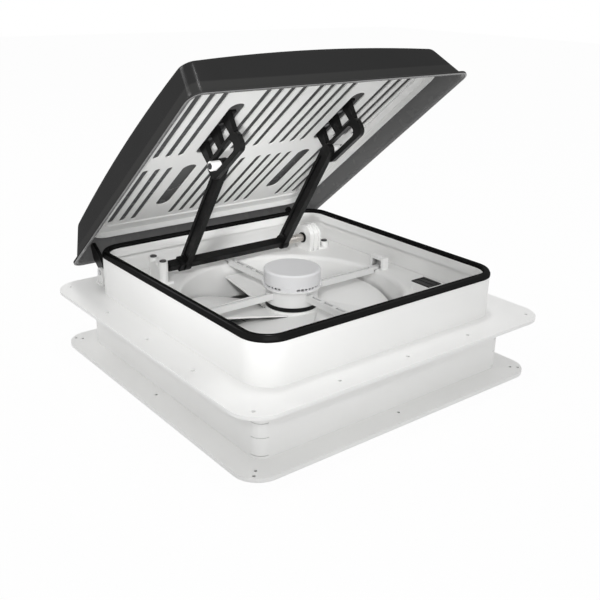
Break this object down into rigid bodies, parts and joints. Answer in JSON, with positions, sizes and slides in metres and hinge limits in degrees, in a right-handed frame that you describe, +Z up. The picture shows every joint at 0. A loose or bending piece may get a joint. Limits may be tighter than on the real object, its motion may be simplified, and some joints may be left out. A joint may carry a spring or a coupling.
{
  "type": "caravan roof vent",
  "caption": "Caravan roof vent with a tilting smoked lid raised by motor-driven arms, a sealed collar with roof flange, a ducted fan and a separate ceiling trim.",
  "frame": {"origin": "centre of the roof opening, on the plane of the roof flange's underside", "axes": "+X along the lid hinge, +Y towards the hinge, +Z up out of the roof"},
  "size_m": [0.475, 0.4927, 0.4101],
  "materials": {
    "white_plastic": "satin white moulding",
    "cover_plastic": "satin pale grey moulding",
    "seal_rubber": "smooth black rubber",
    "smoked_plastic": "glossy dark smoked",
    "liner_plastic": "satin pale warm grey",
    "black_plastic": "satin black moulding",
    "screen_net": "woven dark net",
    "steel": "plain zinc",
    "dark_steel": "black oxide",
    "motor_can": "drawn steel can",
    "bush_brass": "plain"
  },
  "bodies": {
    "frame": {"roof_frame": "white_plastic", "rim_seal": "seal_rubber", "ceiling_trim": "white_plastic", "screen_frame": "white_plastic", "insect_screen": "screen_net", "fan_duct": "white_plastic", "duct_screws": "steel", "motor_spider": "white_plastic", "motor_base_ring": "black_plastic", "spoke_sockets": "white_plastic", "motor_cover": "cover_plastic", "fan_motor": "steel", "hinge_brackets": "white_plastic", "hinge_pins": "steel", "lift_motor": "motor_can", "motor_end_ring": "black_plastic", "motor_housing": "white_plastic", "housing_screw": "dark_steel", "bearing_block": "white_plastic", "bearing_bush": "bush_brass", "bearing_screws": "dark_steel", "sensor_housing": "white_plastic", "sensor_window": "black_plastic"},
    "lid": {"lid_shell": "smoked_plastic", "lid_liner": "liner_plastic", "lid_hinge_arms": "black_plastic", "lid_track_left": "black_plastic", "lid_track_right": "black_plastic", "track_screws": "dark_steel"},
    "lift": {"lift_shaft": "black_plastic", "lift_arm_left": "black_plastic", "lift_arm_right": "black_plastic", "roller_pin_left": "dark_steel", "roller_pin_right": "dark_steel", "motor_output_shaft": "motor_can"},
    "roller_l": {"roller_left": "white_plastic"},
    "roller_r": {"roller_right": "white_plastic"},
    "fan": {"fan_shaft": "steel", "fan_impeller": "white_plastic", "impeller_nut": "steel"}
  },
  "joints": [
    {"name": "lid_hinge", "type": "hinge", "parent": "frame", "child": "lid", "pos_m": [0, 0.204, 0.0212], "axis": [-1, 0, 0], "range_deg": [-39.5, 0]},
    {"name": "lift_turn", "type": "hinge", "parent": "frame", "child": "lift", "pos_m": [0, 0.1326, 0.0373], "axis": [-1, 0, 0], "range_deg": [-55.2, 0]},
    {"name": "roller_spin_left", "type": "hinge", "parent": "lift", "child": "roller_l", "pos_m": [-0.0967, 0.0342, 0.19215], "axis": [-1, 0, 0], "continuous": true},
    {"name": "roller_spin_right", "type": "hinge", "parent": "lift", "child": "roller_r", "pos_m": [0.0967, 0.0342, 0.19215], "axis": [-1, 0, 0], "continuous": true},
    {"name": "fan_spin", "type": "hinge", "parent": "frame", "child": "fan", "pos_m": [0, 0, 0], "axis": [0, 0, 1], "continuous": true}
  ],
  "couplings": [
    {"joint": "lift_turn", "follows": "lid_hinge", "ratio": 1.3957}
  ]
}
